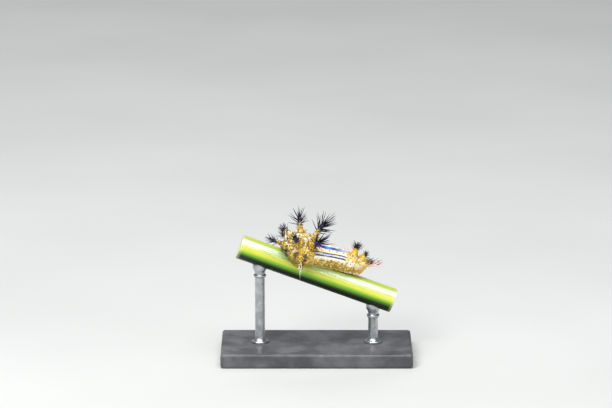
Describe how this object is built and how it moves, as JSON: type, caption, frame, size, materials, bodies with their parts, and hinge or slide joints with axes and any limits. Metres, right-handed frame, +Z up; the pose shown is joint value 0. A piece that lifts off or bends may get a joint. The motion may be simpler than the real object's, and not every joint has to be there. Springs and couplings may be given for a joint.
{
  "type": "slug moth larva on display perch",
  "caption": "Life-size still model of a spiny slug moth larva lying along a sloping cut grass stem, on a flat base with two rods.",
  "frame": {"origin": "centre of the display base's underside", "axes": "+Z up, +X from the head towards the tail along the base's length, -Y towards the larva's left side"},
  "size_m": [0.027, 0.014, 0.0216],
  "materials": {
    "head": "satin brown",
    "prothorax": "satin grey-brown",
    "mesothorax": "satin golden tan",
    "metathorax": "satin golden tan",
    "abdomen_1": "satin golden tan",
    "abdomen_2_4": "satin pale yellow",
    "abdomen_5_6": "satin pale yellow",
    "abdomen_7": "satin golden tan",
    "tail": "satin golden tan",
    "leg": "satin brown",
    "perch": "smooth green stem",
    "stand_base": "matte dark grey",
    "stand_rod": "satin steel"
  },
  "bodies": {
    "root": {"head": "head", "prothorax": "prothorax", "mesothorax": "mesothorax", "metathorax": "metathorax", "abdomen_1": "abdomen_1", "abdomen_2_4": "abdomen_2_4", "abdomen_5_6": "abdomen_5_6", "abdomen_7": "abdomen_7", "tail": "tail", "leg_left_1": "leg", "leg_left_2": "leg", "leg_left_3": "leg", "leg_right_1": "leg", "leg_right_2": "leg", "leg_right_3": "leg", "perch": "perch", "stand_base": "stand_base", "stand_rod_front": "stand_rod", "stand_rod_back": "stand_rod"}
  },
  "joints": []
}
